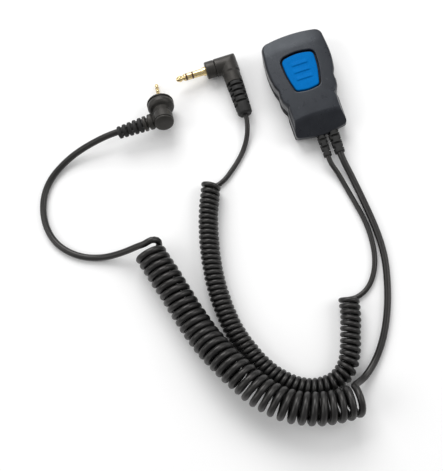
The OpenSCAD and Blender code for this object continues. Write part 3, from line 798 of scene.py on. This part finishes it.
def pod_button():
    """The blue button: flange, wall, rounded rim and crowned face with three ridges."""
    outline = rounded_outline(button_half(0), 300)
    flange = matched(outline, rounded_outline(button_half(BUTTON_GAP + FLANGE_OUT), 600),
                     BUTTON_MIDDLE)
    round_r = 0.6

    def crown(p):
        return BUTTON_TOP - BUTTON_CROWN_R + math.sqrt(BUTTON_CROWN_R**2 - p.x**2)

    def flat(points, z, share=1.0):
        return [Vector((*(BUTTON_MIDDLE.lerp(p, share)).xy, z)) for p in points]

    under = FLANGE_TOP - FLANGE_T
    rings = [
        flat(outline, under, 0.05), flat(flange, under, 0.985), flat(flange, under + 0.15),
        flat(flange, FLANGE_TOP - 0.15), flat(flange, FLANGE_TOP, 0.985),
        flat(outline, FLANGE_TOP, 1.02), flat(outline, FLANGE_TOP + 0.2),
    ]
    normals = outward(outline)
    round_steps = 6
    for k in range(round_steps + 1):
        turn = math.pi / 2 * k / round_steps
        row = []
        for p, n in zip(outline, normals):
            q = p - n * round_r * (1 - math.cos(turn))
            row.append(Vector((q.x, q.y, crown(q) - round_r * (1 - math.sin(turn)))))
        rings.append(row)
    rim = [p - n * round_r for p, n in zip(outline, normals)]
    face_steps = 70
    for k in range(1, face_steps):
        row = []
        for p in rim:
            q = p.lerp(BUTTON_MIDDLE, k / face_steps)
            row.append(Vector((q.x, q.y, crown(q) + ridge_z(q))))
        rings.append(row)
    grid = bmesh.new()
    add_rings(grid, rings)
    return place_piece(
        "pod_button", grid, button_plastic, "button_plastic", body=BUTTON,
        stands_for=["ptt_button"],
    )


pod_front()
pod_button()


# ---------------------------------------------------------------- jack plug

JACK_AT = (-59.8, 24, 6.6)
JACK_TURN, JACK_LIFT = 1.1, 4
JACK_R = 1.75
ELBOW_R = 1.8                # of the elbow's outer corner
TIP_L, GAP_L, CONTACT_RING_END, JACK_L = 4.9, 0.8, 8.1, 14
JACK_BODY_X = 15.6
COLLAR_L, COLLAR_R = 4.7, 4.35
JACK_AXIS_X = 27.2
BARREL_R = 4.65
JACK_RELIEF_Y = 11.2

at_jack = moved(*JACK_AT) @ turned_by(JACK_TURN, "Z") @ turned_by(JACK_LIFT, "Y")
on_pin = at_jack @ turned_by(90, "Y")


def jack_contacts():
    """The jack's three contacts, each with its stem into the body."""
    tip = [
        (0, 0), (0.5, 0), (0.9, 0.3), (1.55, 1.5), (1.62, 1.9), (1.5, 2.4), (1.15, 3.1),
        (1.15, 3.5), (JACK_R, 4.3), (JACK_R, TIP_L), (0.4, TIP_L), (0.4, JACK_BODY_X + 2),
        (0, JACK_BODY_X + 2),
    ]
    ring = [
        (0.75, TIP_L + GAP_L), (JACK_R, TIP_L + GAP_L), (JACK_R, CONTACT_RING_END),
        (0.95, CONTACT_RING_END), (0.95, JACK_BODY_X + 1.6), (0.75, JACK_BODY_X + 1.6),
    ]
    sleeve = [
        (1.3, CONTACT_RING_END + GAP_L), (JACK_R, CONTACT_RING_END + GAP_L), (JACK_R, JACK_L),
        (2.2, JACK_L), (2.2, JACK_BODY_X), (1.3, JACK_BODY_X),
    ]
    made = []
    for name, profile in (("tip", tip), ("ring", ring), ("sleeve", sleeve)):
        made.append(turned_piece(
            f"jack_{name}_contact", profile, on_pin, contact_gold, "contact_gold", 0.08,
            stands_for=[f"jack_{name}"],
        ))
    return made


def jack_shell():
    """Moulded right-angle body: the tube along the pin meets the barrel in a mitred elbow."""
    grid = bmesh.new()
    start = JACK_BODY_X + COLLAR_L
    tube_r = BARREL_R - 0.1
    step = 5
    tube = [(start, BARREL_R - 0.5), (start + 0.35, BARREL_R - 0.15), (JACK_AXIS_X, tube_r)]
    for turn in range(step, 90, step):
        tube.append((JACK_AXIS_X + BARREL_R * math.sin(math.radians(turn)), tube_r))
    rings = []
    for x, r in tube:
        past = max(0, x - JACK_AXIS_X)
        reach = math.sqrt(BARREL_R**2 - past**2)
        bite = max(0, past - BARREL_R + ELBOW_R)
        top = r - ELBOW_R + math.sqrt(ELBOW_R**2 - bite**2)
        rings.append([
            Vector((x, min(top, r * math.cos(a)), max(-reach, min(reach, r * math.sin(a)))))
            for a in (math.radians(angle) for angle in range(0, 360, step))
        ])
    add_rings(grid, rings)
    down = Matrix.Translation((JACK_AXIS_X, 0, 0)) @ Matrix.Rotation(math.pi / 2, 4, "X")
    add_turned(grid, [
        (0, 0), (BARREL_R, 0), (BARREL_R, 5), (BARREL_R - 0.3, 5.5),
        (BARREL_R - 0.35, JACK_RELIEF_Y), (0, JACK_RELIEF_Y),
    ], where=down)
    shell = place_piece(
        "jack_shell", grid, plug_rubber, "plug_rubber", stands_for=["jack_body"], where=at_jack
    )
    blended(shell, 0.17, 16)
    return shell


def jack_collar():
    """Collar in front of the jack's body."""
    x = JACK_BODY_X
    return turned_piece("jack_collar_ring", [
        (1.4, x + 2.2), (1.4, x), (COLLAR_R - 0.3, x), (COLLAR_R, x + 0.3),
        (COLLAR_R, x + COLLAR_L - 0.3), (COLLAR_R - 0.3, x + COLLAR_L), (1.4, x + COLLAR_L),
    ], on_pin, plug_rubber, "plug_rubber", 0.35, stands_for=["jack_collar"])


jack_pieces = [*jack_contacts(), jack_shell(), jack_collar()]


# ---------------------------------------------------------------- round plug

PLUG_AT = (-70.4, 28, 0.9)
PLUG_HEADING, PLUG_RISE, PLUG_ROLL = -92, 22, -86
PIN_R, PIN_END_R = 1.25, 0.9
PIN_GAP = 0.45
PIN_TIP_L, PIN_RING_END, SLEEVE_STEP = 3.2, 6, 8.4
NOSE_Z, RIM_Z, NECK_Z, RING_BACK = 15.4, 14, 18.6, 21.9
RIM_R = 6.7
NECK_R = 3.1
PLUG_BARREL_R = 4.95
BARREL_Z, CAP_Z = 22, 27.6
STUB_Z, STUB_X = 24.8, 10

at_plug = (
    moved(*PLUG_AT) @ turned_by(PLUG_HEADING, "Z") @ turned_by(90 - PLUG_RISE, "Y")
    @ turned_by(PLUG_ROLL, "Z")
)


def pin_contacts():
    """The round plug's three contacts, each with its stem into the nose."""
    tip = [
        (0, 0), (0.3, 0), (0.6, 0.25), (PIN_END_R, 0.95), (PIN_END_R, 1.4), (0.6, 2.1),
        (0.6, 2.4), (PIN_END_R, 2.9), (PIN_END_R, PIN_TIP_L), (0.25, PIN_TIP_L),
        (0.25, NOSE_Z + 2), (0, NOSE_Z + 2),
    ]
    ring = [
        (0.42, PIN_TIP_L + PIN_GAP), (PIN_END_R, PIN_TIP_L + PIN_GAP),
        (PIN_END_R, PIN_RING_END), (0.5, PIN_RING_END), (0.5, NOSE_Z + 1.4),
        (0.42, NOSE_Z + 1.4),
    ]
    sleeve = [
        (0.72, PIN_RING_END + PIN_GAP), (PIN_END_R, PIN_RING_END + PIN_GAP),
        (PIN_END_R, SLEEVE_STEP), (PIN_R, SLEEVE_STEP + 0.3), (PIN_R, NOSE_Z), (0.72, NOSE_Z),
    ]
    made = []
    for name, profile in (("tip", tip), ("ring", ring), ("sleeve", sleeve)):
        made.append(turned_piece(
            f"pin_{name}_contact", profile, at_plug, contact_gold, "contact_gold", 0.06,
            stands_for=[f"pin_{name}"],
        ))
    return made


def bell_ring():
    """Coupling ring: rolled rim, groove, rounded bell and three grip ridges on its neck."""
    ridges = []
    for i in range(3):
        z, r = 19.6 + 0.75 * i, 4.4 - 0.1 * i
        ridges += [(r, z), (r - 0.3, z + 0.25)]
    profile = [
        (RIM_R - 0.5, RIM_Z), (RIM_R, RIM_Z + 0.4), (RIM_R, RIM_Z + 1.1),
        (RIM_R - 0.7, RIM_Z + 1.25), (RIM_R - 0.7, RIM_Z + 1.75), (RIM_R - 0.1, RIM_Z + 2),
        (RIM_R - 0.05, RIM_Z + 3.2), (RIM_R - 0.4, RIM_Z + 4.3), (RIM_R - 1.1, RIM_Z + 5.1),
        (RIM_R - 2, RIM_Z + 5.5),
        *ridges, (4, RING_BACK), (NECK_R + 0.05, RING_BACK), (NECK_R + 0.05, NECK_Z),
        (RIM_R - 1.1, NECK_Z), (RIM_R - 1.1, RIM_Z),
    ]
    return turned_piece(
        "bell_ring", profile, at_plug, plug_rubber, "plug_rubber", 0.22, body=RING,
        stands_for=["coupling_ring"],
    )


def plug_shell():
    """Moulded round plug body: nose, neck, barrel and the stub for the strain relief."""
    grid = bmesh.new()
    r = PLUG_BARREL_R
    add_turned(grid, [
        (0, NOSE_Z), (2.6, NOSE_Z), (2.6, NECK_Z - 0.1), (NECK_R, NECK_Z - 0.1),
        (NECK_R, BARREL_Z), (r - 0.75, BARREL_Z), (r - 0.75, BARREL_Z + 1.2),
        (r, BARREL_Z + 1.7), (r, CAP_Z), (0, CAP_Z),
    ])
    side = Matrix.Translation((0, 0, STUB_Z)) @ Matrix.Rotation(math.pi / 2, 4, "Y")
    add_turned(grid, [
        (0, 0), (2.7, 0), (2.7, 4.3), (3.45, 5), (3.95, 5.6), (3.95, 7.1), (3.6, 7.5),
        (2.5, 7.5), (2.5, 8.4), (3.5, 8.4), (3.85, 8.8), (3.85, STUB_X), (0, STUB_X),
    ], 0.25, where=side)
    shell = place_piece(
        "plug_shell", grid, plug_rubber, "plug_rubber", stands_for=["plug_body"], where=at_plug
    )
    blended(shell, 0.16, 8)
    return shell


def end_cap():
    """Domed cap on the barrel's back end."""
    r = PLUG_BARREL_R - 0.15
    return turned_piece("plug_end_cap", [
        (0, CAP_Z - 0.2), (r - 0.3, CAP_Z - 0.2), (r - 0.3, CAP_Z + 0.15), (r, CAP_Z + 0.3),
        (r, CAP_Z + 0.95), (r - 0.4, CAP_Z + 1.35), (r - 1.4, CAP_Z + 1.52),
        (r - 2.8, CAP_Z + 1.62), (0, CAP_Z + 1.65),
    ], at_plug, plug_rubber, "plug_rubber", 0.25, stands_for=["plug_cap"])


plug_pieces = [*pin_contacts(), bell_ring(), plug_shell(), end_cap()]


# ---------------------------------------------------------------- CAD nodes that stay

FINISHES = {
    # rear shell: the front shell's plastic, its darker base colour painted shade
    "rear_shell": housing_back_painted_shade,
    # seals and gasket: black rubber, darkened further as painted shade in their gaps
    "housing_gasket": seal_rubber,
    "housing_screws": bright_steel,
    "button_seal": seal_rubber,
    "button_pad": pad_grey,
    "circuit_board": board_green,
    "board_parts": ceramic,
    "switch_body": dark_moulding,
    "switch_plunger": red_moulding,
    "switch_terminals": bright_steel,
    "lead_wires": red_moulding,
    "cord_ends": cord_jacket,
    "cord_ferrules": bright_steel,
    "thin_relief": relief_rubber,
    "thick_relief": relief_rubber,
    "jack_insulators": insulator,
    "jack_relief": relief_rubber,
    "pin_insulators": insulator,
    "ring_clip": bright_steel,
    "neck_seal": seal_rubber,
    "plug_relief": relief_rubber,
}
for name, material in FINISHES.items():
    if NODES[name].material_slots:
        NODES[name].material_slots[0].material = material
    else:
        NODES[name].data.materials.append(material)
for name, width in {
    "rear_shell": 0.3, "thin_relief": 0.16, "thick_relief": 0.16, "jack_relief": 0.18,
    "plug_relief": 0.15, "housing_screws": 0.12,
}.items():
    edge_softened(name, width)


# ---------------------------------------------------------------- floor and light

def make_floor():
    """A plain pale sheet."""
    half = 3
    mesh = bpy.data.meshes.new("floor")
    mesh.from_pydata(
        [(-half, -half, 0), (half, -half, 0), (half, half, 0), (-half, half, 0)], [],
        [(0, 1, 2, 3)],
    )
    s = Surface("floor_paper")
    colour = s.mixed(s.noise(40, 3), (0.90, 0.90, 0.90), (0.92, 0.92, 0.92))
    s.bumped(s.noise(1.5, 4), 0.01)
    mesh.materials.append(s.finish(colour, s.ranged(s.noise(20, 2), 0.3, 0.7, 0.7, 0.8)))
    floor = bpy.data.objects.new("floor", mesh)
    bpy.context.scene.collection.objects.link(floor)


def soft_light(name, at, aim, size, watts):
    """A square softbox, placed in metres."""
    data = bpy.data.lights.new(name, "AREA")
    data.size = size
    data.energy = watts
    light = bpy.data.objects.new(name, data)
    bpy.context.scene.collection.objects.link(light)
    light.location = at
    light.rotation_euler = (Vector(aim) - Vector(at)).to_track_quat("-Z", "Y").to_euler()


def make_world(strength):
    """Even white light from all round."""
    world = bpy.data.worlds.new("studio")
    world.use_nodes = True
    background = world.node_tree.nodes["Background"]
    background.inputs["Color"].default_value = (1, 1, 1, 1)
    background.inputs["Strength"].default_value = strength
    bpy.context.scene.world = world


WORLD_STRENGTH = 0.42
OBJECT_MIDDLE = (-0.05, -0.05, 0)
LIGHTS = [
    # name, place, aim, size, watts
    ("key", (0, 1.0, 0.95), (0, 0, 0), 0.95, 15),
    ("left", (-0.85, 0.1, 0.7), OBJECT_MIDDLE, 0.7, 3),
    ("right", (0.85, -0.1, 0.8), OBJECT_MIDDLE, 0.7, 4),
]

make_floor()
make_world(WORLD_STRENGTH)
for light in LIGHTS:
    soft_light(*light)
bpy.context.scene.view_settings.view_transform = "Standard"


# ---------------------------------------------------------------- view layer update

bpy.context.view_layer.update()
